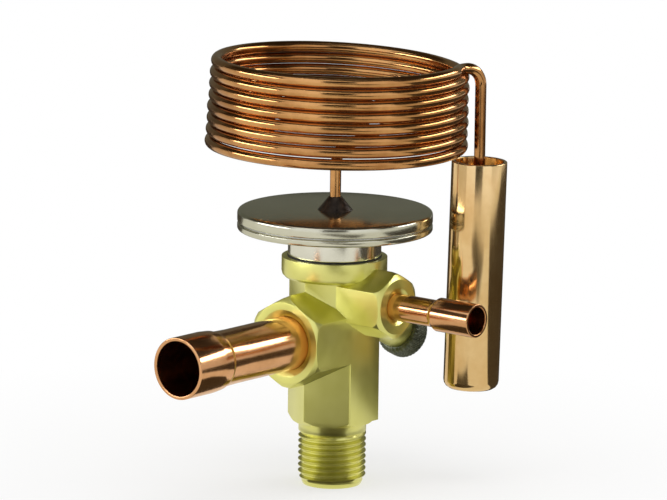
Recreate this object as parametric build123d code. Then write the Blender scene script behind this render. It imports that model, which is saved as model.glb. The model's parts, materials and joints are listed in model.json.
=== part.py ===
"""Thermostatic expansion valve with brazed outlet and equaliser tubes, threaded inlet,
side-mounted superheat adjuster, and a diaphragm element fed by a coiled capillary and bulb.

Frame, in millimetres: the valve stands on +Z, and the origin is on its axis at the shoulder
above the threaded inlet. The outlet points along -Y, the equaliser tube along +X, and the
adjuster leaves the back (+Y), sloping down. Heights are measured from the shoulder.
"""
import os
from math import atan2, cos, degrees, pi, radians, sin, sqrt

from build123d import *

# ---------------------------------------------------------------- inlet spigot
THREAD_R = 15.875 / 2          # 5/8-18 UNF crest radius; the thread itself is not cut
SPIGOT_LEN = 15.1
SPIGOT_LEAD_R = 1.15           # lead-in chamfer, radial and axial
SPIGOT_LEAD_H = 2.3
INLET_BORE_R = 5.5
INLET_BORE_TOP = 8.5
INLET_MOUTH = 0.7              # countersink at the mouth

# ---------------------------------------------------------------- forged body
COLUMN_AF = 18.4               # hexagon, across flats
COLUMN_CHAMFER = 1.3
COLLAR_R = 12.35
COLLAR_TOP = 39.2
COLLAR_H = 5.0
COLLAR_ROUND = 1.6
PAD_HALF_W = 5.2               # flat raised land below the equaliser boss
PAD_BOTTOM_GAP = 0.6
CUT_OVER = 1.0                 # how far a cutter runs on past the face it opens
CUT_THROUGH = 20.0             # a cutter's reach beyond anything in its way

OUTLET_H = 21.0                # height of the outlet axis
OUTLET_AF = 19.2
OUTLET_TURN_START = 15.6       # where the turning of the corners starts
OUTLET_TURN_R = 10.5           # the corners turned down to this
OUTLET_FLAT_LAND = 0.5         # the bevelled rim in front of the corners
OUTLET_FACE_R = 9.5
OUTLET_FACE = 17.8
OUTLET_SINK_R = 7.9            # countersink round the tube
OUTLET_SINK_D = 0.8
EQ_H = 29.6                    # height of the equaliser axis
EQ_AF = 14.0
EQ_TURN_START = 17.3
EQ_TURN_R = 7.6
EQ_FLAT_LAND = 0.6
EQ_FACE_R = 6.4
EQ_FACE = 19.1
EQ_SINK_R = 4.4
EQ_SINK_D = 0.6

CHAMBER_R = 4.0                # outlet chamber above the seat
CHAMBER_TOP = 20.9
OUTLET_PASSAGE_R = 2.7
OUTLET_PASSAGE_H = 18.1
EQ_PASSAGE_R = 1.5
SPRING_CHAMBER_R = 6.6
SPRING_CHAMBER_FLOOR = 26.2
ELEMENT_BORE_R = 9.45          # threaded socket for the element
ELEMENT_BORE_FLOOR = 35.5

# ---------------------------------------------------------------- brazed tubes
OUTLET_TUBE_R = 12.7 / 2
OUTLET_TUBE_WALL = 0.85
OUTLET_SOCKET_WALL = 0.85
OUTLET_TUBE_SEAT = 11.0        # how far out from the axis the tube starts
OUTLET_STEP = 37.6
OUTLET_STEP_LEN = 9.0
STEP_SHIFT = 0.3               # the step inside lies this much farther out than outside
OUTLET_MOUTH = 55.8
EQ_TUBE_R = 6.35 / 2
EQ_TUBE_WALL = 0.76
EQ_SOCKET_WALL = 0.76
EQ_TUBE_SEAT = 12.6
EQ_STEP = 30.2
EQ_STEP_LEN = 1.4
EQ_MOUTH = 42.4
BRAZE_GAP = 0.05
TUBE_SEAT_GAP = 0.1

# ---------------------------------------------------------------- stem and its guide
ROD_R = 1.25
RUNNING = 0.05                 # radial clearance of every moving fit
ROD_CLEAR_R = 1.45             # of the slots and holes the rod passes freely
ROD_WEB_TOP = 21.9
ROD_WEB_HOLE_R = 1.5
GUIDE_POCKET_R = 3.4
ROD_SEAL_SECTION_R = 0.95
GUIDE_BOTTOM = 23.9
GUIDE_TOP = 25.2
SEAL_GAP = 0.02
FIT_GAP = 0.03                 # pressed or screwed parts, drawn just clear

# ---------------------------------------------------------------- orifice cartridge
CARTRIDGE_BOTTOM = -2.0
CARTRIDGE_BORE_R = 3.4
CARTRIDGE_GAP = 0.1            # round its shoulder in the inlet bore
NOSE_GAP = 0.05
FLARE_SLOPE = 0.6              # of the cone below the seat
GASKET_T = 0.5
NOSE_TOP = 13.5
ORIFICE_R = 1.9
SEAT_H = 10.0
CONE_R = 2.9
CONE_BODY_H = 1.8
CONE_TIP_R = 1.25
SEAT_GAP = 0.05
CONE_SPRING_R = 2.1
CONE_SPRING_WIRE = 0.55
CONE_SPRING_TURNS = 5.0
RETAINER_T = 0.9
RETAINER_HOLE_R = 1.3
STRAINER_RIM_T = 1.4
STRAINER_RECESS = 0.6
STRAINER_WALL = 0.3
STRAINER_RIM_BORE_R = 4.3
STRAINER_TOP = -4.0

# ---------------------------------------------------------------- superheat adjuster
ADJ_TILT = 26.0                # degrees below horizontal, going out
ADJ_H = 29.6                   # where its axis meets the valve axis
ADJ_BOSS_R = 5.8
ADJ_BOSS_END = 13.4
STUB_R = 4.5
STUB_END = 29.4
GLAND_BORE_R = 3.25
GLAND_BORE_FLOOR = 13.9
FORK_W = 7.2
FORK_H = 4.0
FORK_IN = -3.2                 # inner end of the prongs, along the adjuster axis
FORK_OUT = 9.8
FORK_TOP = 30.1                # level top face that lifts the spring seat
FORK_TRAVEL = 1.5
FORK_SIDE_GAP = 0.1
FORK_END_GAP = 0.3
FORK_BOTTOM_GAP = 0.2
FORK_WALL = 1.0                # between the rod slot and the tapped hole
SPINDLE_R = 2.0
SPINDLE_COLLAR_R = 3.0
SPINDLE_COLLAR_T = 1.2
SPINDLE_COLLAR_GAP = 0.1
SPINDLE_END = 28.4
SPINDLE_SLOT_W = 0.9
SPINDLE_SLOT_D = 1.2
SPINDLE_RING_R = 0.58
GLAND_NUT_IN = 17.6
GLAND_NUT_OUT = 22.0
GLAND_SLOT_W = 1.0
GLAND_SLOT_D = 0.9
CAP_R = 5.8
CAP_IN = 26.3
CAP_OUT = 31.4
CAP_END_T = 1.3
CAP_ROUND = 1.2
CAP_GASKET_T = 0.6
GASKET_SIDE_GAP = 0.1

# ---------------------------------------------------------------- superheat spring
SEAT_PLATE_T = 1.4
SEAT_LIFT_GAP = 0.02
SEAT_SIDE_GAP = 0.15
SPRING_R = 4.6
SPRING_WIRE = 1.1
SPRING_TURNS = 5.5
SPRING_PILOT_H = 1.1
SPRING_PILOT_GAP = 0.3
SPRING_END_GAP = 0.05
SPRING_CHORDS = 16             # straight chords per turn
SPRING_SLOPE = 1.25            # room for the wire's corners, which tilt with the winding
RING_SIDES = 8

# ---------------------------------------------------------------- diaphragm element
ELEMENT_R = 22.8
SEAL_T = 0.3                   # between the collar and the neck
NECK_H = 5.9
LOWER_COVER_H = 1.7
DIAPHRAGM_T = 0.2
UPPER_COVER_H = 2.8
ELEMENT_BOTTOM = COLLAR_TOP + SEAL_T + NECK_H
DIAPHRAGM_H = ELEMENT_BOTTOM + LOWER_COVER_H
ELEMENT_TOP = DIAPHRAGM_H + DIAPHRAGM_T + UPPER_COVER_H
COVER_T = 0.85
UPPER_COVER_T = 1.2
RIM_IN_R = 19.0
DISH_SLOPE = 0.6               # radial run of the dished wall inside the rim
DIAPHRAGM_R = 22.3
RIM_ROUND = 0.8
WELD_BREAK = 0.3
NECK_R = 10.9
NECK_BORE_R = 7.2
SEAL_LAP = 0.12                # how far the seal stands out past the neck, and clear of the thread
PLATE_R = 6.8
PLATE_T = 2.4
PLATE_HUB_H = 1.8
ROD_IN_PLATE = 1.2
CHARGE_CONE_R = 4.1            # braze cone round the capillary
CHARGE_CONE_H = 3.2
CHARGE_CONE_TOP_R = 1.5

# ---------------------------------------------------------------- capillary and bulb
CAP_TUBE_R = 1.28
CAP_TUBE_SIDES = 8             # drawn with flats, and with straight chords round each bend
CHORDS_PER_TURN = 30
BULB_DIR = 39.2                # degrees from +X towards +Y, seen from above
COIL_TURNS = 7.68
COIL_PITCH = 2.7
COIL_R_BOTTOM = 29.3
COIL_R_TOP = 28.7
COIL_SHIFT = 0.8               # the top turns lie this far towards the bulb
COIL_LEAN = 1.8                # degrees, the coil hanging down on the bulb's side
COIL_START_H = 64.65
LEAD_BEND_R = 5.0
SPUR_BEND_R = 9.0
HOOK_R = 4.2
BULB_R = 13.0 / 2
BULB_WALL = 0.8
BULB_LEN = 54.0
BULB_TOP = COIL_START_H - 2.55   # the coil's first turn passes over the bulb
BULB_REACH = 33.4              # from the valve axis
BULB_LEAN = 1.2                # degrees, the foot leaning in towards the valve
BULB_FOOT_ROUND = 2.0
CREST_DROP = 0.4               # the hook's crest below the end of the coil
CREST_ALONG = 0.55             # how far the hook heads along the tube's way, and outward
CREST_OUT = 0.45
CREST_CHORDS = 6
PLUG_RECESS = 2.6
PLUG_T = 3.0
CAP_TUBE_IN_PLUG = 2.0


def disc(r, low, high):
    """A cylinder on the valve axis between two heights."""
    return Pos(0, 0, (low + high) / 2) * Cylinder(r, high - low)


def ring(r_out, r_in, low, high):
    return disc(r_out, low, high) - disc(r_in, low - CUT_OVER, high + CUT_OVER)


def turned(points):
    """A solid turned about Z from (radius, height) points."""
    outline = Polyline(*[(r, 0, h) for r, h in points], close=True)
    return revolve(make_face(outline), axis=Axis.Z)


def corner(r, h, radius, first, last, steps=3):
    """Points of a rounded corner, centre (r, h), from one angle to another in degrees."""
    angles = [radians(first + (last - first) * k / steps) for k in range(steps + 1)]
    return [(r + radius * cos(a), h + radius * sin(a)) for a in angles]


def seal_ring(inner_r, section_r, low):
    """An O-ring of eight-sided section, lying on a floor."""
    turn = 180 / RING_SIDES
    angles = [radians(turn + 360 * k / RING_SIDES) for k in range(RING_SIDES)]
    flat_r = section_r / cos(radians(turn))
    middle_r, middle_h = inner_r + section_r, low + section_r
    return turned([(middle_r + flat_r * cos(a), middle_h + flat_r * sin(a)) for a in angles])


def hexagon_bar(af, low, high, turn=0.0):
    """A hexagonal bar on Z; turn 0 puts a flat square to X."""
    section = RegularPolygon(af / 2, 6, major_radius=False, rotation=30 + turn)
    return extrude(Plane.XY.offset(low) * section, high - low)


OUTLET_AXIS = Plane(origin=(0, 0, OUTLET_H), x_dir=(1, 0, 0), z_dir=(0, -1, 0))
EQ_AXIS = Plane(origin=(0, 0, EQ_H), x_dir=(0, 1, 0), z_dir=(1, 0, 0))
ADJ_AXIS = Plane(origin=(0, 0, ADJ_H), x_dir=(1, 0, 0),
                 z_dir=(0, cos(radians(ADJ_TILT)), -sin(radians(ADJ_TILT))))


def on(plane, shape):
    """Moves a shape made on the Z axis onto another axis."""
    return plane.location * shape


def square_spring(mean_r, wire, low, high, turns):
    """A compression spring of square wire, wound as straight chords, between two heights."""
    rise = (high - low - SPRING_SLOPE * wire) / turns
    count = round(turns * SPRING_CHORDS)
    points = []
    for k in range(count + 1):
        angle = 2 * pi * k / SPRING_CHORDS
        points.append((mean_r * cos(angle), mean_r * sin(angle),
                       low + SPRING_SLOPE * wire / 2 + rise * k / SPRING_CHORDS))
    start = Plane(origin=points[0], x_dir=(1, 0, 0), z_dir=Vector(*points[1]) - Vector(*points[0]))
    return sweep(start * Rectangle(wire, wire), path=Polyline(*points), transition=Transition.RIGHT)


# ================================================================ body
def boss(af, turn_start, turn_r, land, face_r, face):
    """A hexagonal boss, its corners turned down at the end and its rim bevelled to the face."""
    tip_r = af / sqrt(3)
    clear_r = tip_r + CUT_OVER
    end = turned([(0, 0), (clear_r, 0), (clear_r, turn_start), (tip_r, turn_start),
                  (turn_r, face - land), (face_r, face), (0, face)])
    return hexagon_bar(af, 0, face) & end


def countersink(bore_r, sink_r, depth, face):
    """A cutter for the shallow cone round a bore, open beyond the face."""
    return turned([(0, face - depth), (bore_r, face - depth), (sink_r, face),
                   (sink_r, face + CUT_OVER), (0, face + CUT_OVER)])


def valve_body():
    tip_r = COLUMN_AF / sqrt(3)
    column = hexagon_bar(COLUMN_AF, 0, COLLAR_TOP - COLLAR_H / 2)
    clear_r = tip_r + CUT_OVER
    column &= turned([(0, 0), (tip_r - COLUMN_CHAMFER, 0), (tip_r, COLUMN_CHAMFER),
                      (clear_r, COLUMN_CHAMFER), (clear_r, COLLAR_TOP), (0, COLLAR_TOP)])
    collar_low = COLLAR_TOP - COLLAR_H
    under = corner(COLLAR_R - COLLAR_ROUND, collar_low + COLLAR_ROUND, COLLAR_ROUND, -90, 0)
    collar = turned([(0, collar_low), *under, (COLLAR_R, COLLAR_TOP), (0, COLLAR_TOP)])
    spigot = turned([(0, -SPIGOT_LEN), (THREAD_R - SPIGOT_LEAD_R, -SPIGOT_LEN),
                     (THREAD_R, SPIGOT_LEAD_H - SPIGOT_LEN), (THREAD_R, COLUMN_CHAMFER),
                     (0, COLUMN_CHAMFER)])
    pad_x = OUTLET_AF / 2
    pad = Pos(pad_x / 2, 0, 0) * extrude(Rectangle(pad_x, 2 * PAD_HALF_W), EQ_H)
    pad -= ring(COLLAR_R, THREAD_R, -CUT_OVER, PAD_BOTTOM_GAP)
    body = spigot + column + collar + pad
    body += on(OUTLET_AXIS, boss(OUTLET_AF, OUTLET_TURN_START, OUTLET_TURN_R, OUTLET_FLAT_LAND,
                                 OUTLET_FACE_R, OUTLET_FACE))
    body += on(EQ_AXIS, boss(EQ_AF, EQ_TURN_START, EQ_TURN_R, EQ_FLAT_LAND, EQ_FACE_R, EQ_FACE))
    body += on(ADJ_AXIS, disc(ADJ_BOSS_R, 0, ADJ_BOSS_END) + disc(STUB_R, 0, STUB_END))

    spigot_face = -SPIGOT_LEN - CUT_OVER
    mouth_r = INLET_BORE_R + INLET_MOUTH
    mouth = turned([(0, spigot_face), (mouth_r, spigot_face), (mouth_r, -SPIGOT_LEN),
                    (INLET_BORE_R, INLET_MOUTH - SPIGOT_LEN), (0, INLET_MOUTH - SPIGOT_LEN)])
    body -= mouth + disc(INLET_BORE_R, spigot_face, INLET_BORE_TOP)
    body -= disc(CHAMBER_R, 0, CHAMBER_TOP)
    body -= disc(ROD_WEB_HOLE_R, 0, ROD_WEB_TOP + CUT_OVER)
    body -= disc(GUIDE_POCKET_R, ROD_WEB_TOP, SPRING_CHAMBER_FLOOR + CUT_OVER)
    body -= disc(SPRING_CHAMBER_R, SPRING_CHAMBER_FLOOR, COLLAR_TOP + CUT_OVER)
    body -= disc(ELEMENT_BORE_R, ELEMENT_BORE_FLOOR, COLLAR_TOP + CUT_OVER)

    seat_end = OUTLET_TUBE_SEAT - TUBE_SEAT_GAP
    bore_r = OUTLET_TUBE_R + BRAZE_GAP
    body -= on(OUTLET_AXIS, disc(bore_r, seat_end, OUTLET_FACE + CUT_OVER)
               + countersink(bore_r, OUTLET_SINK_R, OUTLET_SINK_D, OUTLET_FACE))
    passage = Plane(origin=(0, 0, OUTLET_PASSAGE_H), x_dir=(1, 0, 0), z_dir=(0, -1, 0))
    body -= on(passage, disc(OUTLET_PASSAGE_R, 0, OUTLET_TUBE_SEAT))
    eq_end = EQ_TUBE_SEAT - TUBE_SEAT_GAP
    bore_r = EQ_TUBE_R + BRAZE_GAP
    body -= on(EQ_AXIS, disc(bore_r, eq_end, EQ_FACE + CUT_OVER)
               + countersink(bore_r, EQ_SINK_R, EQ_SINK_D, EQ_FACE))
    body -= on(EQ_AXIS, disc(EQ_PASSAGE_R, SPRING_CHAMBER_R - CUT_OVER, EQ_TUBE_SEAT))

    slot_w = FORK_W + 2 * FORK_SIDE_GAP
    slot_h = FORK_H + 2 * FORK_BOTTOM_GAP
    slot_in = FORK_IN - FORK_TRAVEL - FORK_END_GAP
    slot_out = FORK_OUT + FORK_TRAVEL + FORK_END_GAP
    body -= on(ADJ_AXIS, Pos(0, 0, (slot_in + slot_out) / 2) * Box(slot_w, slot_h, slot_out - slot_in))
    body -= on(ADJ_AXIS, disc(SPINDLE_R + RUNNING, 0, STUB_END))
    body -= on(ADJ_AXIS, disc(GLAND_BORE_R, GLAND_BORE_FLOOR, STUB_END + CUT_OVER))
    return body


# ================================================================ tubes
def socketed_tube(r, wall, socket_wall, seat, step, step_len, mouth):
    """A copper tube whose outer end is expanded to take a tube of its own size."""
    inner = r - wall
    expanded = r + socket_wall
    section = [(inner, seat), (r, seat), (r, step), (expanded, step + step_len), (expanded, mouth),
               (r, mouth), (r, step + step_len + STEP_SHIFT), (inner, step + STEP_SHIFT)]
    return turned(section)


def outlet_tube():
    return on(OUTLET_AXIS, socketed_tube(OUTLET_TUBE_R, OUTLET_TUBE_WALL, OUTLET_SOCKET_WALL,
                                         OUTLET_TUBE_SEAT, OUTLET_STEP, OUTLET_STEP_LEN,
                                         OUTLET_MOUTH))


def equaliser_tube():
    return on(EQ_AXIS, socketed_tube(EQ_TUBE_R, EQ_TUBE_WALL, EQ_SOCKET_WALL,
                                     EQ_TUBE_SEAT, EQ_STEP, EQ_STEP_LEN, EQ_MOUTH))


# ================================================================ diaphragm element
def element_neck():
    r_thread = ELEMENT_BORE_R - RUNNING
    return turned([(NECK_BORE_R, ELEMENT_BORE_FLOOR + SEAL_T), (r_thread, ELEMENT_BORE_FLOOR + SEAL_T),
                   (r_thread, COLLAR_TOP + SEAL_T), (NECK_R, COLLAR_TOP + SEAL_T),
                   (NECK_R, ELEMENT_BOTTOM), (NECK_BORE_R, ELEMENT_BOTTOM)])


def element_seal():
    return ring(NECK_R + SEAL_LAP, ELEMENT_BORE_R + SEAL_LAP, COLLAR_TOP, COLLAR_TOP + SEAL_T)


def element_lower_cover():
    return turned([(NECK_BORE_R, ELEMENT_BOTTOM), (ELEMENT_R - RIM_ROUND, ELEMENT_BOTTOM),
                   *corner(ELEMENT_R - RIM_ROUND, ELEMENT_BOTTOM + RIM_ROUND, RIM_ROUND, -60, 0, 2),
                   (ELEMENT_R, DIAPHRAGM_H - WELD_BREAK),
                   (ELEMENT_R - WELD_BREAK, DIAPHRAGM_H), (RIM_IN_R, DIAPHRAGM_H),
                   (RIM_IN_R - DISH_SLOPE, ELEMENT_BOTTOM + COVER_T), (NECK_BORE_R, ELEMENT_BOTTOM + COVER_T)])


def diaphragm():
    return disc(DIAPHRAGM_R, DIAPHRAGM_H, DIAPHRAGM_H + DIAPHRAGM_T)


def element_upper_cover():
    low = DIAPHRAGM_H + DIAPHRAGM_T
    under = ELEMENT_TOP - UPPER_COVER_T
    return turned([(CAP_TUBE_R + FIT_GAP, under), (RIM_IN_R - DISH_SLOPE, under), (RIM_IN_R, low),
                   (ELEMENT_R - WELD_BREAK, low), (ELEMENT_R, low + WELD_BREAK),
                   *corner(ELEMENT_R - RIM_ROUND, ELEMENT_TOP - RIM_ROUND, RIM_ROUND, 0, 60, 2),
                   (ELEMENT_R - RIM_ROUND, ELEMENT_TOP), (CAP_TUBE_R + FIT_GAP, ELEMENT_TOP)])


def capillary_braze_cone():
    hole = CAP_TUBE_R + FIT_GAP
    return turned([(hole, ELEMENT_TOP), (CHARGE_CONE_R, ELEMENT_TOP),
                   (CHARGE_CONE_TOP_R, ELEMENT_TOP + CHARGE_CONE_H), (hole, ELEMENT_TOP + CHARGE_CONE_H)])


# ================================================================ stem
def diaphragm_plate():
    top = DIAPHRAGM_H - SPRING_END_GAP
    hub_r = SPRING_R - SPRING_WIRE / 2 - SPRING_PILOT_GAP
    plate = disc(PLATE_R, top - PLATE_T, top) + disc(hub_r, top - PLATE_T - PLATE_HUB_H, top)
    return plate - disc(ROD_R, 0, top - ROD_IN_PLATE)


def cone_top():
    """Height of the flat on the cone, where the rod rests on it."""
    return SEAT_H - SEAT_GAP + (ORIFICE_R - CONE_TIP_R)


def push_rod():
    return disc(ROD_R, cone_top(), DIAPHRAGM_H - SPRING_END_GAP - ROD_IN_PLATE)


def valve_cone():
    top = cone_top()
    base = top - (CONE_R - CONE_TIP_R)
    return turned([(0, base - CONE_BODY_H), (CONE_R, base - CONE_BODY_H), (CONE_R, base),
                   (CONE_TIP_R, top), (0, top)])


def rod_seal():
    return seal_ring(ROD_R + SEAL_GAP, ROD_SEAL_SECTION_R, ROD_WEB_TOP + SEAL_GAP)


def rod_guide():
    return ring(GUIDE_POCKET_R - FIT_GAP, ROD_R + RUNNING, GUIDE_BOTTOM, GUIDE_TOP)


# ================================================================ orifice cartridge and strainer
def orifice_gasket():
    return ring(INLET_BORE_R - CARTRIDGE_GAP, CHAMBER_R + NOSE_GAP, INLET_BORE_TOP - GASKET_T,
                INLET_BORE_TOP)


def orifice_cartridge():
    shoulder = INLET_BORE_TOP - GASKET_T
    flare = CARTRIDGE_BORE_R - ORIFICE_R
    barrel_r, nose_r = INLET_BORE_R - CARTRIDGE_GAP, CHAMBER_R - NOSE_GAP
    return turned([(CARTRIDGE_BORE_R, CARTRIDGE_BOTTOM), (barrel_r, CARTRIDGE_BOTTOM),
                   (barrel_r, shoulder), (nose_r, shoulder), (nose_r, NOSE_TOP),
                   (ORIFICE_R, NOSE_TOP), (ORIFICE_R, SEAT_H),
                   (CARTRIDGE_BORE_R, SEAT_H - FLARE_SLOPE * flare)])


def cone_base():
    return cone_top() - (CONE_R - CONE_TIP_R) - CONE_BODY_H


def spring_retainer():
    return ring(CARTRIDGE_BORE_R - FIT_GAP, RETAINER_HOLE_R, CARTRIDGE_BOTTOM,
                CARTRIDGE_BOTTOM + RETAINER_T)


def cone_spring():
    return square_spring(CONE_SPRING_R, CONE_SPRING_WIRE, CARTRIDGE_BOTTOM + RETAINER_T,
                         cone_base() - SPRING_END_GAP, CONE_SPRING_TURNS)


def strainer_rim():
    low = STRAINER_RECESS - SPIGOT_LEN
    return ring(INLET_BORE_R - FIT_GAP, STRAINER_RIM_BORE_R, low, low + STRAINER_RIM_T)


def strainer_screen():
    """A thimble of wire cloth, domed at the top, standing in its rim."""
    r = STRAINER_RIM_BORE_R - FIT_GAP
    low = STRAINER_RECESS - SPIGOT_LEN
    shoulder = STRAINER_TOP - r
    outer = corner(0, shoulder, r, 0, 90, steps=4)
    inner = corner(0, shoulder, r - STRAINER_WALL, 90, 0, steps=4)
    return turned([(r, low), *outer, *inner, (r - STRAINER_WALL, low)])


# ================================================================ superheat adjuster
def adjusting_fork():
    """Slides along the adjuster axis without turning; its level top lifts the spring seat."""
    block = on(ADJ_AXIS, Pos(0, 0, (FORK_IN + FORK_OUT) / 2) * Box(FORK_W, FORK_H, FORK_OUT - FORK_IN))
    above = Pos(0, 0, FORK_TOP + CUT_THROUGH / 2) * Box(2 * CUT_THROUGH, 2 * CUT_THROUGH, CUT_THROUGH)
    slot_y = fork_slot_end()
    slot = Pos(0, slot_y - CUT_THROUGH / 2, ADJ_H) * Box(2 * ROD_CLEAR_R, CUT_THROUGH, CUT_THROUGH)
    slot += Pos(0, slot_y, ADJ_H) * Cylinder(ROD_CLEAR_R, CUT_THROUGH)
    tapped = on(ADJ_AXIS, disc(SPINDLE_R + RUNNING, fork_hole_start(), FORK_OUT + CUT_OVER))
    return block - above - slot - tapped


def fork_slot_end():
    """How far past the valve axis the centre of the slot's round end lies."""
    return FORK_TRAVEL * cos(radians(ADJ_TILT)) + RUNNING


def fork_hole_start():
    """Where the tapped hole starts, along the adjuster axis."""
    return (fork_slot_end() + ROD_CLEAR_R) / cos(radians(ADJ_TILT)) + FORK_WALL


def spindle_tip():
    return fork_hole_start() + FORK_TRAVEL + FORK_END_GAP


def adjusting_spindle():
    collar_in = GLAND_BORE_FLOOR + SPINDLE_COLLAR_GAP
    shaft = disc(SPINDLE_R, spindle_tip(), SPINDLE_END)
    shaft += disc(SPINDLE_COLLAR_R, collar_in, collar_in + SPINDLE_COLLAR_T)
    shaft -= Pos(0, 0, SPINDLE_END) * Box(SPINDLE_SLOT_W, 3 * SPINDLE_R, 2 * SPINDLE_SLOT_D)
    return on(ADJ_AXIS, shaft)


def spindle_seal():
    low = GLAND_BORE_FLOOR + SPINDLE_COLLAR_GAP + SPINDLE_COLLAR_T + SPINDLE_COLLAR_GAP
    return on(ADJ_AXIS, seal_ring(SPINDLE_R + SEAL_GAP, SPINDLE_RING_R, low))


def gland_nut():
    nut = ring(GLAND_BORE_R - FIT_GAP, SPINDLE_R + RUNNING, GLAND_NUT_IN, GLAND_NUT_OUT)
    nut -= Pos(0, 0, GLAND_NUT_OUT) * Box(3 * GLAND_BORE_R, GLAND_SLOT_W, 2 * GLAND_SLOT_D)
    return on(ADJ_AXIS, nut)


def spindle_cap():
    outer = corner(CAP_R - CAP_ROUND, CAP_OUT - CAP_ROUND, CAP_ROUND, 0, 90)
    inner = corner(CAP_R - CAP_ROUND, CAP_IN + CAP_ROUND, CAP_ROUND, -90, 0)
    bore_r, floor = STUB_R + FIT_GAP, CAP_OUT - CAP_END_T
    return on(ADJ_AXIS, turned([(bore_r, CAP_IN), *inner, *outer, (0, CAP_OUT), (0, floor),
                                (bore_r, floor)]))


def cap_gasket():
    return on(ADJ_AXIS, ring(STUB_R - GASKET_SIDE_GAP, GLAND_BORE_R + GASKET_SIDE_GAP,
                             STUB_END, STUB_END + CAP_GASKET_T))


# ================================================================ superheat spring and seat
def seat_low():
    return FORK_TOP + SEAT_LIFT_GAP


def spring_seat():
    pilot_r = SPRING_R - SPRING_WIRE / 2 - SPRING_PILOT_GAP
    seat = disc(SPRING_CHAMBER_R - SEAT_SIDE_GAP, seat_low(), seat_low() + SEAT_PLATE_T)
    seat += disc(pilot_r, seat_low(), seat_low() + SEAT_PLATE_T + SPRING_PILOT_H)
    return seat - disc(ROD_CLEAR_R, 0, COLLAR_TOP)


def superheat_spring():
    low = seat_low() + SEAT_PLATE_T + SPRING_END_GAP
    high = DIAPHRAGM_H - SPRING_END_GAP - PLATE_T - SPRING_END_GAP
    return square_spring(SPRING_R, SPRING_WIRE, low, high, SPRING_TURNS)


# ================================================================ capillary and bulb
def bulb_frame():
    """Origin at the bulb's top centre, Z up along the bulb, X away from the valve."""
    d = radians(BULB_DIR)
    lean = radians(BULB_LEAN)
    outward = Vector(cos(d), sin(d), 0)
    up = Vector(outward.X * sin(lean), outward.Y * sin(lean), cos(lean))
    origin = Vector(BULB_REACH * cos(d), BULB_REACH * sin(d), BULB_TOP)
    return Plane(origin=origin, x_dir=outward - up * outward.dot(up), z_dir=up)


def arc_points(centre, start, axis, angle, step):
    """Points round an arc, the first one left out."""
    count = max(2, round(abs(angle) / step))
    centre, start = Vector(*centre), Vector(*start)
    spoke = start - centre
    return [centre + spoke.rotate(Axis((0, 0, 0), axis), angle * k / count) for k in range(1, count + 1)]


def bridge(start, start_way, end, end_way, count):
    """Points of a smooth bridge between two ends with given directions, the first left out."""
    points = []
    for t in [k / count for k in range(1, count + 1)]:
        points.append(start * (2 * t**3 - 3 * t**2 + 1) + start_way * (t**3 - 2 * t**2 + t)
                      + end * (3 * t**2 - 2 * t**3) + end_way * (t**3 - t**2))
    return points


def capillary_route():
    """Up from the element, out to the coil, round its turns, and down into the bulb."""
    step = 360 / CHORDS_PER_TURN
    begin = BULB_DIR + 90
    ray = begin - degrees(atan2(SPUR_BEND_R, sqrt((COIL_R_BOTTOM - SPUR_BEND_R) ** 2 - SPUR_BEND_R ** 2)))
    ray_dir = Vector(cos(radians(ray)), sin(radians(ray)), 0)
    points = [Vector(0, 0, ELEMENT_TOP - UPPER_COVER_T / 2),
              Vector(0, 0, COIL_START_H - LEAD_BEND_R)]
    side = ray_dir.cross(Vector(0, 0, 1)) * -1
    points += arc_points(tuple(points[-1] + ray_dir * LEAD_BEND_R), tuple(points[-1]),
                         tuple(side), 90, 2 * step)
    start_r = sqrt((COIL_R_BOTTOM - SPUR_BEND_R) ** 2 - SPUR_BEND_R ** 2)
    spur_start = ray_dir * start_r + Vector(0, 0, COIL_START_H)
    points.append(spur_start)
    hub = Vector(cos(radians(begin)), sin(radians(begin)), 0) * (COIL_R_BOTTOM - SPUR_BEND_R)
    hub += Vector(0, 0, COIL_START_H)
    points += arc_points(tuple(hub), tuple(spur_start), (0, 0, 1), begin - ray + 90, 2 * step)

    shift = Vector(cos(radians(BULB_DIR)), sin(radians(BULB_DIR)), 0) * COIL_SHIFT
    count = round(COIL_TURNS * CHORDS_PER_TURN)
    for k in range(1, count + 1):
        along = k / count
        angle = radians(begin + 360 * COIL_TURNS * along)
        r = COIL_R_BOTTOM + (COIL_R_TOP - COIL_R_BOTTOM) * along
        lean = r * sin(radians(COIL_LEAN)) * sin(angle - radians(begin))
        h = COIL_START_H + COIL_PITCH * COIL_TURNS * along + lean
        points.append(Vector(r * cos(angle), r * sin(angle), h) + shift * along)

    frame = bulb_frame()
    foot = frame.origin - frame.z_dir * (PLUG_RECESS + CAP_TUBE_IN_PLUG)
    top = points[-1]
    drop = frame.origin + Vector(0, 0, top.Z - CREST_DROP - HOOK_R - BULB_TOP)
    last_way = Vector(-sin(angle), cos(angle), 0)
    outward = Vector(cos(radians(BULB_DIR)), sin(radians(BULB_DIR)), 0)
    heading = (last_way * CREST_ALONG + outward * CREST_OUT).normalized()
    crest = drop + Vector(0, 0, HOOK_R) - heading * HOOK_R
    span = (crest - top).length
    points += bridge(top, last_way * span, crest, heading * span, CREST_CHORDS)
    turn_axis = heading.cross(Vector(0, 0, 1)) * -1
    points += arc_points(tuple(crest - Vector(0, 0, HOOK_R)), tuple(crest), tuple(turn_axis), 90, 2 * step)
    points += [frame.origin, foot]
    return points


def capillary_tube():
    points = capillary_route()
    path = Polyline(*points)
    start = Plane(origin=points[0], z_dir=points[1] - points[0])
    section = start * RegularPolygon(CAP_TUBE_R, CAP_TUBE_SIDES)
    return sweep(section, path=path, transition=Transition.RIGHT)


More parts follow.
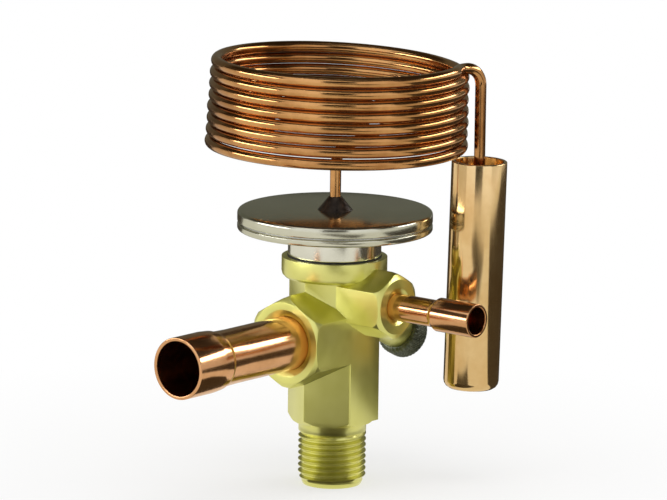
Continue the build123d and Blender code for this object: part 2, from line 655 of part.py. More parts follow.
def bulb_shell():
    foot = corner(BULB_R - BULB_FOOT_ROUND, BULB_FOOT_ROUND - BULB_LEN, BULB_FOOT_ROUND, -90, 0)
    inner_r = BULB_R - BULB_WALL
    return on(bulb_frame(), turned([(0, -BULB_LEN), *foot, (BULB_R, 0), (inner_r, 0),
                                    (inner_r, BULB_WALL - BULB_LEN), (0, BULB_WALL - BULB_LEN)]))


def bulb_end_plug():
    plug = Pos(0, 0, -PLUG_RECESS - PLUG_T / 2) * Cylinder(BULB_R - BULB_WALL - FIT_GAP, PLUG_T)
    plug -= Pos(0, 0, -PLUG_RECESS) * Cylinder(CAP_TUBE_R + FIT_GAP, 2 * CAP_TUBE_IN_PLUG)
    return on(bulb_frame(), plug)


MAKERS = [valve_body, outlet_tube, equaliser_tube,
          element_neck, element_seal, element_lower_cover, diaphragm, element_upper_cover,
          capillary_braze_cone, diaphragm_plate, push_rod, valve_cone, rod_seal, rod_guide,
          orifice_gasket, orifice_cartridge, cone_spring, spring_retainer, strainer_rim,
          strainer_screen, adjusting_fork, adjusting_spindle, spindle_seal, gland_nut,
          spindle_cap, cap_gasket, spring_seat, superheat_spring,
          capillary_tube, bulb_shell, bulb_end_plug]

os.makedirs("parts", exist_ok=True)
for maker in MAKERS:
    shape = maker()
    solids = shape.solids()
    if len(solids) == 1:
        shape = solids[0]
    export_step(shape, f"parts/{maker.__name__}.step")
    print(f"{maker.__name__:24s} solids {len(solids)}  volume {shape.volume:10.2f} mm3")
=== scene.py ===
# %% [markdown]
# # A thermostatic expansion valve
# The valve is a forged brass body with two brazed copper tubes, a steel diaphragm element on top,
# and a copper capillary that is wound into a coil and ends in a sensing bulb.
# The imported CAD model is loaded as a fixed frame. Everything here is in metres, in its frame:
# +Z runs up the valve, -Y along the outlet tube and +X along the equaliser tube.

# %% Load the frame
import json
from math import atan2, cos, pi, radians, sin, sqrt

import bmesh
import bpy
from mathutils import Matrix, Vector

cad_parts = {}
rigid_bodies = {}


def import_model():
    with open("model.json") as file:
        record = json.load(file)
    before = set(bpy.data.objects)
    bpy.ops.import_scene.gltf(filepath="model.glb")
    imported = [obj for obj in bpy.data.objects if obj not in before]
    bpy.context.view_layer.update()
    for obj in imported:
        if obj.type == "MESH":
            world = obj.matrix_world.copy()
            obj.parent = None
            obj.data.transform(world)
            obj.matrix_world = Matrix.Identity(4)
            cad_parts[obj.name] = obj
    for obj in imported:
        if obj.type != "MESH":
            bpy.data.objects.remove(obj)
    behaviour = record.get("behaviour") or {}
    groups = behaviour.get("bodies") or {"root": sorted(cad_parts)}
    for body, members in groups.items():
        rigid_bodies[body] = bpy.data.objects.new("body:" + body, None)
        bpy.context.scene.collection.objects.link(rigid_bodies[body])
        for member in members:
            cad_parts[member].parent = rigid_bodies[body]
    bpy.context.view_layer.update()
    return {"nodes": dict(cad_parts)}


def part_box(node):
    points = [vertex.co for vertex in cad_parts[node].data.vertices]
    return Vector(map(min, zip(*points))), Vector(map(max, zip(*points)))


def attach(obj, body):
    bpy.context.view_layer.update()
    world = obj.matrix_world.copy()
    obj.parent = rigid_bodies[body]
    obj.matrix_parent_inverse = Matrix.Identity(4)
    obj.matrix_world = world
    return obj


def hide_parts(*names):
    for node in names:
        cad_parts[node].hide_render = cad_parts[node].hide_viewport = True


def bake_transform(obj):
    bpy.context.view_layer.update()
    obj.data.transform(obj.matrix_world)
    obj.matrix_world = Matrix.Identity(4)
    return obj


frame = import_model()
MM = 0.001

# %% [markdown]
# ## The camera
# A long lens from a metre and a half away, a little above the valve. The camera's axes are built
# from its azimuth and elevation, which keeps the view exact without any constraint.

# %% Camera
AZIMUTH, ELEVATION, ROLL = radians(39.2), radians(11.2), radians(0.77)
AIM = Vector((0, 0, 39.9 * MM))
DISTANCE = 1.5
LENS_MM, SENSOR_MM = 347.3, 36.0
IMAGE_WIDTH = 667
AIM_RIGHT_PX, AIM_DOWN_PX = 1.1, 2.45

towards_camera = Vector((sin(AZIMUTH) * cos(ELEVATION), -cos(AZIMUTH) * cos(ELEVATION),
                         sin(ELEVATION)))
screen_right = Vector((cos(AZIMUTH), sin(AZIMUTH), 0))
screen_up = towards_camera.cross(screen_right)
camera = bpy.data.objects.new("camera", bpy.data.cameras.new("camera"))
bpy.context.scene.collection.objects.link(camera)
camera.data.lens = LENS_MM
camera.data.sensor_width = SENSOR_MM
camera.data.shift_x = -AIM_RIGHT_PX / IMAGE_WIDTH
camera.data.shift_y = AIM_DOWN_PX / IMAGE_WIDTH
turn = Matrix((screen_right, screen_up, towards_camera)).transposed().to_4x4()
camera.matrix_world = (Matrix.Translation(AIM + towards_camera * DISTANCE) @ turn
                       @ Matrix.Rotation(ROLL, 4, "Z"))
bpy.context.scene.camera = camera
bpy.context.scene.view_settings.view_transform = "Standard"
print("camera at", [round(c, 3) for c in camera.matrix_world.translation])

# %% [markdown]
# ## Node helpers
# Every finish below is built from the same few nodes: Object coordinates, a noise, a ramp and a
# bump. These helpers only save typing; the values stay with each finish.

# %% Node helpers
def new_material(name):
    """A material with an empty Principled shader; returns it with its nodes and links."""
    material = bpy.data.materials.new(name)
    material.use_nodes = True
    nodes = material.node_tree.nodes
    return material, nodes, material.node_tree.links, nodes["Principled BSDF"]


def object_coordinates(nodes, links, scale=(1, 1, 1)):
    """Object coordinates, stretched by a Mapping node."""
    mapping = nodes.new("ShaderNodeMapping")
    mapping.inputs["Scale"].default_value = scale
    links.new(nodes.new("ShaderNodeTexCoord").outputs["Object"], mapping.inputs["Vector"])
    return mapping.outputs["Vector"]


def noise(nodes, links, vector, scale, detail=4.0, roughness=0.5):
    texture = nodes.new("ShaderNodeTexNoise")
    texture.inputs["Scale"].default_value = scale
    texture.inputs["Detail"].default_value = detail
    texture.inputs["Roughness"].default_value = roughness
    links.new(vector, texture.inputs["Vector"])
    return texture.outputs["Fac"]


def ramp(nodes, links, factor, stops):
    """A colour ramp from (position, value) pairs; a value is a grey number or an RGB triple."""
    node = nodes.new("ShaderNodeValToRGB")
    while len(node.color_ramp.elements) < len(stops):
        node.color_ramp.elements.new(0.5)
    for element, (position, value) in zip(node.color_ramp.elements, stops):
        element.position = position
        element.color = (*value, 1) if isinstance(value, tuple) else (value, value, value, 1)
    links.new(factor, node.inputs["Fac"])
    return node.outputs["Color"]


def bump(nodes, links, height, strength, distance):
    node = nodes.new("ShaderNodeBump")
    node.inputs["Strength"].default_value = strength
    node.inputs["Distance"].default_value = distance
    links.new(height, node.inputs["Height"])
    return node.outputs["Normal"]


print("node helpers ready")

# %% [markdown]
# ## Brass
# The body is forged, then machined on every face that shows, so it is satin rather than polished.
# A broad cloud shifts the yellow a little towards green, and shallow cuts run across the faces. A
# thin clear coat makes the lit faces creamy and leaves the shaded ones deep.

# %% Brass
def brass_finish(name, light, dark, rough_low, rough_high):
    material, nodes, links, shader = new_material(name)
    plain = object_coordinates(nodes, links)
    cloud = noise(nodes, links, plain, 90, detail=3)
    wear = noise(nodes, links, plain, 350, detail=2)
    milled = noise(nodes, links, object_coordinates(nodes, links, (1, 1, 14)), 420, detail=3)
    rough = ramp(nodes, links, wear, [(0.3, rough_low), (0.7, rough_high)])
    links.new(ramp(nodes, links, cloud, [(0.3, dark), (0.7, light)]), shader.inputs["Base Color"])
    links.new(rough, shader.inputs["Roughness"])
    links.new(bump(nodes, links, milled, 0.06, 0.05 * MM), shader.inputs["Normal"])
    shader.inputs["Metallic"].default_value = 1.0
    shader.inputs["Coat Weight"].default_value = 0.5
    shader.inputs["Coat IOR"].default_value = 1.9
    shader.inputs["Coat Roughness"].default_value = 0.2
    return material


body_brass = brass_finish("body brass", (0.82, 0.80, 0.25), (0.71, 0.69, 0.17), 0.33, 0.37)
inner_brass = brass_finish("inner brass", (0.74, 0.62, 0.26), (0.66, 0.54, 0.20), 0.24, 0.36)
print("brass:", body_brass.name, inner_brass.name)

# %% [markdown]
# ## Copper
# Drawn copper is bright, with faint streaks along the tube and brown patches where it has begun
# to tarnish. The streaks are a noise that is stretched along the tube's own axis.

# %% Copper
def copper_finish(name, bright, brown, rough_low, rough_high, stretch, streak_scale):
    material, nodes, links, shader = new_material(name)
    streak = noise(nodes, links, object_coordinates(nodes, links, stretch), streak_scale, detail=4)
    patch = noise(nodes, links, object_coordinates(nodes, links), 60, detail=5, roughness=0.6)
    rough = ramp(nodes, links, streak, [(0.3, rough_low), (0.75, rough_high)])
    links.new(ramp(nodes, links, patch, [(0.35, brown), (0.62, bright)]), shader.inputs["Base Color"])
    links.new(rough, shader.inputs["Roughness"])
    links.new(bump(nodes, links, streak, 0.12, 0.03 * MM), shader.inputs["Normal"])
    shader.inputs["Metallic"].default_value = 1.0
    return material


TUBE_BRIGHT, TUBE_BROWN = (0.80, 0.43, 0.22), (0.58, 0.29, 0.12)
COIL_BRIGHT, COIL_BROWN = (0.68, 0.36, 0.14), (0.40, 0.18, 0.06)
BULB_BRIGHT, BULB_BROWN = (0.88, 0.64, 0.34), (0.74, 0.47, 0.20)
ALONG_X, ALONG_Y, ALONG_Z, NO_WAY = (0.06, 1, 1), (1, 0.06, 1), (1, 1, 0.05), (1, 1, 1)
outlet_copper = copper_finish("outlet copper", TUBE_BRIGHT, TUBE_BROWN, 0.10, 0.22, ALONG_Y, 300)
equaliser_copper = copper_finish("equaliser copper", TUBE_BRIGHT, TUBE_BROWN, 0.10, 0.22, ALONG_X, 300)
coil_copper = copper_finish("coil copper", COIL_BRIGHT, COIL_BROWN, 0.12, 0.20, NO_WAY, 500)
bulb_copper = copper_finish("bulb copper", BULB_BRIGHT, BULB_BROWN, 0.09, 0.16, ALONG_Z, 260)
print("copper:", outlet_copper.name, equaliser_copper.name, coil_copper.name, bulb_copper.name)

# %% [markdown]
# ## Steel, braze and seals
# The covers are pressed and turned stainless steel: the turning leaves rings round the axis, which
# a wave texture on the distance from it draws. Braze is nearly black and a little glossy.

# %% Steel, braze and seals
def steel_finish(name, light, dark, rough_low, rough_high, ring_scale, ring_depth):
    material, nodes, links, shader = new_material(name)
    plain = object_coordinates(nodes, links)
    wave = nodes.new("ShaderNodeTexWave")
    wave.wave_type = "RINGS"
    wave.rings_direction = "Z"
    wave.inputs["Scale"].default_value = ring_scale
    wave.inputs["Distortion"].default_value = 1.2
    wave.inputs["Detail"].default_value = 3.0
    links.new(plain, wave.inputs["Vector"])
    cloud = noise(nodes, links, plain, 70, 4)
    grain = noise(nodes, links, plain, 3000, 4)
    rough = ramp(nodes, links, grain, [(0.3, rough_low), (0.7, rough_high)])
    links.new(ramp(nodes, links, cloud, [(0.3, dark), (0.7, light)]), shader.inputs["Base Color"])
    links.new(rough, shader.inputs["Roughness"])
    links.new(bump(nodes, links, wave.outputs["Fac"], 0.25, ring_depth), shader.inputs["Normal"])
    shader.inputs["Metallic"].default_value = 1.0
    return material


def dark_finish(name, light, dark, rough_low, rough_high, metallic, grain_scale, depth):
    material, nodes, links, shader = new_material(name)
    grain = noise(nodes, links, object_coordinates(nodes, links), grain_scale, 4)
    rough = ramp(nodes, links, grain, [(0.3, rough_low), (0.7, rough_high)])
    links.new(ramp(nodes, links, grain, [(0.3, dark), (0.7, light)]), shader.inputs["Base Color"])
    links.new(rough, shader.inputs["Roughness"])
    links.new(bump(nodes, links, grain, 0.3, depth), shader.inputs["Normal"])
    shader.inputs["Metallic"].default_value = metallic
    return material


cover_steel = steel_finish("cover steel", (0.68, 0.67, 0.56), (0.58, 0.57, 0.46), 0.14, 0.20,
                           ring_scale=500, ring_depth=0.002 * MM)
neck_steel = steel_finish("neck steel", (0.84, 0.83, 0.76), (0.76, 0.75, 0.68), 0.16, 0.22,
                          ring_scale=500, ring_depth=0.0006 * MM)
inner_steel = steel_finish("inner steel", (0.60, 0.60, 0.60), (0.50, 0.50, 0.50), 0.25, 0.35,
                           ring_scale=800, ring_depth=0.004 * MM)
dark_braze = dark_finish("dark braze", (0.050, 0.036, 0.026), (0.015, 0.010, 0.008), 0.25, 0.45,
                         metallic=0.6, grain_scale=900, depth=0.15 * MM)
black_seal = dark_finish("black seal", (0.035, 0.035, 0.035), (0.015, 0.015, 0.015), 0.45, 0.6,
                         metallic=0.0, grain_scale=1500, depth=0.03 * MM)
cap_metal = dark_finish("cap metal", (0.15, 0.16, 0.12), (0.05, 0.06, 0.04), 0.30, 0.50,
                        metallic=0.9, grain_scale=700, depth=0.05 * MM)
print("steel and dark finishes ready")

# %% [markdown]
# ## Turned pieces
# Nearly every piece of a valve is turned on a lathe, so one helper serves them all: it draws half
# the outline as a wire, rounds each corner with a vertex bevel, and spins it round the axis.

# %% Lathe
LATHE_STEPS = 128
ROUNDING_STEPS = 4
SHARP_ANGLE = radians(35)
MERGE = 0.0005 * MM


def finish_mesh(name, bm, material, body="valve"):
    """Turns a bmesh into a smooth-shaded object that rides on a body."""
    bmesh.ops.remove_doubles(bm, verts=bm.verts[:], dist=MERGE)
    bmesh.ops.recalc_face_normals(bm, faces=bm.faces[:])
    mesh = bpy.data.meshes.new(name)
    bm.to_mesh(mesh)
    bm.free()
    mesh.shade_smooth()
    mesh.set_sharp_from_angle(angle=SHARP_ANGLE)
    mesh.materials.append(material)
    piece = bpy.data.objects.new(name, mesh)
    bpy.context.scene.collection.objects.link(piece)
    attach(piece, body)
    return piece


def turned_bmesh(outline, steps=LATHE_STEPS):
    """Spins (radius, height, rounding) points, in millimetres, round the Z axis."""
    bm = bmesh.new()
    verts = [bm.verts.new((r * MM, 0, h * MM)) for r, h, _ in outline]
    for a, b in zip(verts, verts[1:] + verts[:1]):
        bm.edges.new((a, b))
    for vert, (_, _, rounding) in zip(verts, outline):
        if rounding:
            bmesh.ops.bevel(bm, geom=[vert], offset=rounding * MM, offset_type="OFFSET",
                            segments=ROUNDING_STEPS, profile=0.5, affect="VERTICES", material=-1)
    bmesh.ops.spin(bm, geom=bm.verts[:] + bm.edges[:], axis=(0, 0, 1), cent=(0, 0, 0),
                   steps=steps, angle=2 * pi, use_merge=True)
    return bm


def along(origin, direction):
    """The matrix that carries the Z axis onto another one."""
    return Matrix.Translation(origin) @ direction.to_track_quat("Z", "Y").to_matrix().to_4x4()


def turned_piece(name, node, outline, material, place=None):
    """A turned piece that stands for a CAD node."""
    bm = turned_bmesh(outline)
    if place is not None:
        bmesh.ops.transform(bm, matrix=place, verts=bm.verts[:])
    piece = finish_mesh(name, bm, material)
    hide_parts(node)
    print(f"{name}: {len(piece.data.polygons)} faces")


OUTLET_H, EQUALISER_H = 21.0, 29.6
outlet_axis = along(Vector((0, 0, OUTLET_H * MM)), Vector((0, -1, 0)))
equaliser_axis = along(Vector((0, 0, EQUALISER_H * MM)), Vector((1, 0, 0)))

# %% [markdown]
# ## The brazed tubes
# Each tube is drawn copper whose outer end was pushed over a mandrel, so that the next tube slides
# in. The mandrel leaves a ring-shaped shoulder, a slow flare beyond it and a rounded lip.

# %% Tubes
RING_AT, RING_HALF = 0.65, 0.4
RING_FOOT, RING_TOP = 0.2, 0.75
BEND_ROUND, SOCKET_ROUND, LIP_ROUND = 0.3, 0.4, 0.22
INNER_LAG = 0.3


def socketed_tube(name, node, r, wall, seat, step, step_len, mouth, material, place):
    """A tube from its seat in the body to its mouth, with the shoulder ring in its flare."""
    inner, expanded, socket = r - wall, r + wall, step + step_len
    ring = step + RING_AT * step_len
    turned_piece(name, node, [
        (inner, seat, 0), (r, seat, 0), (r, step, BEND_ROUND),
        (r + RING_FOOT * wall, ring - RING_HALF, BEND_ROUND),
        (r + RING_TOP * wall, ring + RING_HALF, BEND_ROUND),
        (expanded, socket, SOCKET_ROUND), (expanded, mouth, LIP_ROUND), (r, mouth, LIP_ROUND),
        (r, socket + INNER_LAG, BEND_ROUND), (inner, step + INNER_LAG, BEND_ROUND)],
        material, place)


socketed_tube("outlet_tube_smooth", "outlet_tube", r=6.35, wall=0.85, seat=11.0, step=37.6,
              step_len=9.0, mouth=55.8, material=outlet_copper, place=outlet_axis)
socketed_tube("equaliser_tube_smooth", "equaliser_tube", r=3.175, wall=0.76, seat=12.6, step=30.2,
              step_len=1.4, mouth=42.4, material=equaliser_copper, place=equaliser_axis)

# %% [markdown]
# ## The diaphragm element
# Two pressed covers are welded together round their rims. The weld leaves a fine groove, and the
# upper cover's edge is rolled over. The neck is a plain turned ring.

# %% Element
ELEMENT_R, ELEMENT_LOW, ELEMENT_TOP = 22.8, 45.4, 50.1
UPPER_RIM, UPPER_INSIDE, UPPER_ROUND = 47.3, 48.9, 0.85
LOWER_RIM, LOWER_INSIDE, LOWER_ROUND = 47.1, 46.25, 0.6
RIM_IN_R, DISH_R, WELD_R = 19.0, 18.4, 22.4
GROOVE, GROOVE_ROUND = 0.25, 0.15
CAPILLARY_HOLE_R = 1.31
NECK_BORE_R, NECK_THREAD_R, NECK_R, NECK_ROUND = 7.2, 9.4, 10.9, 0.25
NECK_LOW, NECK_STEP = 35.8, 39.5

turned_piece("upper_cover_smooth", "element_upper_cover", [
    (CAPILLARY_HOLE_R, UPPER_INSIDE, 0), (DISH_R, UPPER_INSIDE, 0), (RIM_IN_R, UPPER_RIM, 0),
    (WELD_R, UPPER_RIM, 0), (ELEMENT_R, UPPER_RIM + GROOVE, GROOVE_ROUND),
    (ELEMENT_R, ELEMENT_TOP, UPPER_ROUND), (CAPILLARY_HOLE_R, ELEMENT_TOP, 0)],
    cover_steel)
turned_piece("lower_cover_smooth", "element_lower_cover", [
    (NECK_BORE_R, ELEMENT_LOW, 0), (ELEMENT_R, ELEMENT_LOW, LOWER_ROUND),
    (ELEMENT_R, LOWER_RIM - GROOVE, GROOVE_ROUND), (WELD_R, LOWER_RIM, 0),
    (RIM_IN_R, LOWER_RIM, 0), (DISH_R, LOWER_INSIDE, 0), (NECK_BORE_R, LOWER_INSIDE, 0)],
    cover_steel)
turned_piece("neck_smooth", "element_neck", [
    (NECK_BORE_R, NECK_LOW, 0), (NECK_THREAD_R, NECK_LOW, 0), (NECK_THREAD_R, NECK_STEP, 0),
    (NECK_R, NECK_STEP, NECK_ROUND), (NECK_R, ELEMENT_LOW, 0), (NECK_BORE_R, ELEMENT_LOW, 0)],
    neck_steel)

# %% [markdown]
# ## The capillary
# One length of fine copper tube: up from the element, out to the coil, round its turns, over the
# top and down into the bulb. A curve with a round bevel makes the tube, and is then made a mesh.
# The turns were wound by hand: each has its own small offset, and the first one stands a little
# further from the next than the others do.

# %% Capillary route
BULB_DIR, BULB_REACH, BULB_TOP, BULB_LEAN = radians(39.2), 33.4, 62.1, radians(1.2)
COIL_START, COIL_START_H, COIL_TURNS, COIL_PITCH = radians(129.2), 64.65, 7.68, 2.7
COIL_R_BOTTOM, COIL_R_TOP, COIL_SHIFT, COIL_LEAN = 29.3, 28.7, 0.8, radians(1.8)
OPEN_TURNS, OPENING = 1.2, 0.12
WAVER, WAVER_RATE, WAVER_START = 0.08, 2.3, 0.6
CAPILLARY_R, CAPILLARY_FOOT, CAPILLARY_IN_BULB = 1.31, 49.5, 4.6
LEAD_BEND_R, SPUR_BEND_R = 5.0, 9.0
HOOK_R, CREST_DROP, CREST_ALONG, CREST_OUT, CREST_STEPS = 4.2, 0.4, 0.55, 0.45, 16
STEPS_PER_TURN = 120
ARC_STEP = radians(6)

outward = Vector((cos(BULB_DIR), sin(BULB_DIR), 0))
bulb_up = Vector((outward.x * sin(BULB_LEAN), outward.y * sin(BULB_LEAN), cos(BULB_LEAN)))
bulb_top = outward * BULB_REACH + Vector((0, 0, BULB_TOP))


def arc(centre, start, axis, angle):
    """Points round an arc after its first one."""
    count = max(2, round(abs(angle) / ARC_STEP))
    spoke = start - centre
    return [centre + Matrix.Rotation(angle * k / count, 3, axis) @ spoke for k in range(1, count + 1)]


def hermite(start, start_way, end, end_way, count):
    """Points of a smooth bridge between two ends with given directions, both ends left out."""
    points = []
    for k in range(1, count):
        t = k / count
        points.append((2 * t ** 3 - 3 * t ** 2 + 1) * start + (t ** 3 - 2 * t ** 2 + t) * start_way
                      + (3 * t ** 2 - 2 * t ** 3) * end + (t ** 3 - t ** 2) * end_way)
    return points


def opening(turns):
    """Height gained over an even pitch: the first turn is open and the others nearly touch."""
    if turns < OPEN_TURNS:
        return OPENING * turns / OPEN_TURNS
    return OPENING * (COIL_TURNS - turns) / (COIL_TURNS - OPEN_TURNS)


def coil_point(along_coil):
    """A point of the coil's centre line, from 0 at its start to 1 at its end."""
    angle = COIL_START + 2 * pi * COIL_TURNS * along_coil
    r = COIL_R_BOTTOM + (COIL_R_TOP - COIL_R_BOTTOM) * along_coil
    turns = COIL_TURNS * along_coil
    r += WAVER * sin(WAVER_RATE * turns + WAVER_START) * min(1, turns) * min(1, COIL_TURNS - turns)
    lean = r * sin(COIL_LEAN) * sin(angle - COIL_START)
    h = COIL_START_H + COIL_PITCH * turns + lean + opening(turns)
    return Vector((r * cos(angle), r * sin(angle), h)) + outward * COIL_SHIFT * along_coil


def capillary_points():
    """The capillary's centre line, from the element to the inside of the bulb."""
    reach = COIL_R_BOTTOM - SPUR_BEND_R
    spur_len = sqrt(reach ** 2 - SPUR_BEND_R ** 2)
    ray = COIL_START - atan2(SPUR_BEND_R, spur_len)
    ray_way = Vector((cos(ray), sin(ray), 0))
    lead_top = Vector((0, 0, COIL_START_H - LEAD_BEND_R))
    points = [Vector((0, 0, CAPILLARY_FOOT)), lead_top]
    points += arc(lead_top + ray_way * LEAD_BEND_R, lead_top, Vector((0, 0, 1)).cross(ray_way), pi / 2)
    spur_end = ray_way * spur_len + Vector((0, 0, COIL_START_H))
    points.append(spur_end)
    hub = Vector((cos(COIL_START), sin(COIL_START), 0)) * reach + Vector((0, 0, COIL_START_H))
    points += arc(hub, spur_end, Vector((0, 0, 1)), COIL_START - ray + pi / 2)
    count = round(COIL_TURNS * STEPS_PER_TURN)
    points += [coil_point(k / count) for k in range(1, count + 1)]
    last = points[-1]
    heading = (points[-1] - points[-2]).normalized()
    crest_way = heading * CREST_ALONG + outward * CREST_OUT
    crest_way = Vector((crest_way.x, crest_way.y, 0)).normalized()
    drop = bulb_top + Vector((0, 0, last.z - CREST_DROP - HOOK_R - BULB_TOP))
    crest = drop + Vector((0, 0, HOOK_R)) - crest_way * HOOK_R
    span = (crest - last).length
    points += hermite(last, heading * span, crest, crest_way * span, CREST_STEPS)
    points.append(crest)
    points += arc(crest - Vector((0, 0, HOOK_R)), crest, Vector((0, 0, 1)).cross(crest_way), pi / 2)
    points += [bulb_top, bulb_top - bulb_up * CAPILLARY_IN_BULB]
    return points


route = capillary_points()
print("capillary route:", len(route), "points")

# %% [markdown]
# ## The capillary's tube
# The curve is bevelled to a round tube and made a mesh, so that it exports like any other piece.

# %% Capillary tube
TUBE_SIDES = 24


def tube_mesh(name, points, radius):
    """A round tube along points, in millimetres, made from a bevelled curve."""
    curve = bpy.data.curves.new(name, "CURVE")
    curve.dimensions = "3D"
    curve.bevel_depth = radius * MM
    curve.bevel_resolution = (TUBE_SIDES - 4) // 2
    curve.use_fill_caps = True
    curve.twist_mode = "MINIMUM"
    spline = curve.splines.new("POLY")
    spline.points.add(len(points) - 1)
    for point, place in zip(spline.points, points):
        point.co = (*(place * MM), 1)
    holder = bpy.data.objects.new(name + "_curve", curve)
    mesh = bpy.data.meshes.new_from_object(holder)
    bpy.data.objects.remove(holder)
    return mesh


bm = bmesh.new()
bm.from_mesh(tube_mesh("capillary", route, CAPILLARY_R))
capillary = finish_mesh("capillary_round", bm, coil_copper)
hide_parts("capillary_tube")
print("capillary:", len(capillary.data.polygons), "faces")

# %% [markdown]
# ## The bulb
# A copper tube with a spun closed end. The open end keeps a thin rim, and the plug sits below it.

# %% Bulb
BULB_R, BULB_WALL, BULB_LEN = 6.5, 0.8, 54.0
FOOT_ROUND, FOOT_ROUND_IN, RIM_ROUND, RIM_ROUND_IN = 2.0, 1.2, 0.25, 0.2
bulb_in_r, bulb_floor = BULB_R - BULB_WALL, -BULB_LEN + BULB_WALL
turned_piece("bulb_smooth", "bulb_shell", [
    (0, -BULB_LEN, 0), (BULB_R, -BULB_LEN, FOOT_ROUND), (BULB_R, 0, RIM_ROUND),
    (bulb_in_r, 0, RIM_ROUND_IN), (bulb_in_r, bulb_floor, FOOT_ROUND_IN), (0, bulb_floor, 0)],
    bulb_copper, along(bulb_top * MM, bulb_up))

# %% [markdown]
# ## The braze cone
# Where the capillary enters the cover it is sealed with a heap of dark braze, drawn down to the
# tube. Its lumpy surface comes from its finish.

# %% Braze cone
CONE_R, CONE_TOP_R, CONE_HOLE_R, CONE_H, CONE_ROUND = 4.1, 1.5, 1.3, 3.2, 0.2
cone_top = ELEMENT_TOP + CONE_H
turned_piece("braze_cone_rough", "capillary_braze_cone", [
    (CONE_HOLE_R, ELEMENT_TOP, 0), (CONE_R, ELEMENT_TOP, 0), (CONE_TOP_R, cone_top, CONE_ROUND),
    (CONE_HOLE_R, cone_top, 0)], dark_braze)

# %% [markdown]
# ## The body
# The forging's edges are broken and its inner corners are filleted. A copy of the CAD mesh is
# cleaned to plain faces, and every edge that turns by more than a few degrees gets a bevel.

# %% Body
THREAD_R, THREAD_ROOT_R, THREAD_PITCH = 7.9375, 7.08, 1.411
SPIGOT_LOW, THREAD_TOP = -15.1, -2.2
SLIM_STEP, SLIM_GAP, SPIGOT_WALL_R = 0.04, 0.35, 6.5
EDGE_BREAK, EDGE_STEPS, BEVEL_ANGLE, BEVEL_ABOVE = 0.28, 3, radians(22), 0.5
FLAT_ANGLE = radians(0.5)
CUT_DIST = 0.0001 * MM


def radius_of(vert):
    return sqrt(vert.co.x ** 2 + vert.co.y ** 2)


def cut_level(bm, height, way=1, clear=False):
    """Cuts a mesh at a height, in metres; may clear what lies beyond it on that way."""
    geom = bm.verts[:] + bm.edges[:] + bm.faces[:]
    return bmesh.ops.bisect_plane(bm, geom=geom, dist=CUT_DIST, plane_co=(0, 0, height),
                                  plane_no=(0, 0, way), clear_outer=clear)


def slim_spigot(bm):
    """Turns the plain spigot down to the thread's root, below the thread's last turn."""
    for height in (THREAD_TOP, THREAD_TOP - SLIM_STEP):
        cut_level(bm, height * MM)
    for vert in bm.verts:
        r = radius_of(vert)
        if vert.co.z < (THREAD_TOP - SLIM_STEP / 2) * MM and r > SPIGOT_WALL_R * MM:
            slim = (THREAD_ROOT_R - SLIM_GAP) * MM / r
            vert.co.x *= slim
            vert.co.y *= slim


def dressed_body():
    bm = bmesh.new()
    bm.from_mesh(frame["nodes"]["valve_body"].data)
    bmesh.ops.remove_doubles(bm, verts=bm.verts[:], dist=0.001 * MM)
    bmesh.ops.dissolve_limit(bm, angle_limit=FLAT_ANGLE, verts=bm.verts[:], edges=bm.edges[:])
    slim_spigot(bm)
    sharp = [e for e in bm.edges if e.is_manifold and e.calc_face_angle() > BEVEL_ANGLE
             and e.verts[0].co.z > (THREAD_TOP + BEVEL_ABOVE) * MM]
    bmesh.ops.bevel(bm, geom=sharp, offset=EDGE_BREAK * MM, offset_type="OFFSET",
                    segments=EDGE_STEPS, profile=0.5, affect="EDGES", clamp_overlap=True, material=-1)
    return finish_mesh("body_forging", bm, body_brass)


body = dressed_body()
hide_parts("valve_body")
print("body:", len(body.data.polygons), "faces")

# %% [markdown]
# ## The inlet thread
# A thread is one V-shaped tooth that is spun round the axis while it climbs by its pitch. The
# spin operator takes that climb as dvec. Then the chamfer at the end trims the crests, and the
# last turn runs out towards the plain neck.

# %% Inlet thread
THREAD_STEPS = 96
CHAMFER_R, CHAMFER_H, CHAMFER_IN_R = 6.79, 2.3, 6.2
RUN_OUT = 1.3
TOOTH = [(THREAD_ROOT_R, 0.0), (THREAD_ROOT_R, 0.14), (THREAD_R, 0.62), (THREAD_R, 0.79),
         (THREAD_ROOT_R, 1.27), (THREAD_ROOT_R, THREAD_PITCH)]


def trimmed_radius(r, height):
    """The thread's radius after the end chamfer and the run-out."""
    above_end = height - SPIGOT_LOW
    trimmed = min(r, CHAMFER_R + above_end * (THREAD_R - CHAMFER_R) / CHAMFER_H)
    rise = max(0, (height - (THREAD_TOP - RUN_OUT)) / RUN_OUT)
    return max(trimmed, THREAD_ROOT_R + (THREAD_R - THREAD_ROOT_R) * rise) if rise else trimmed


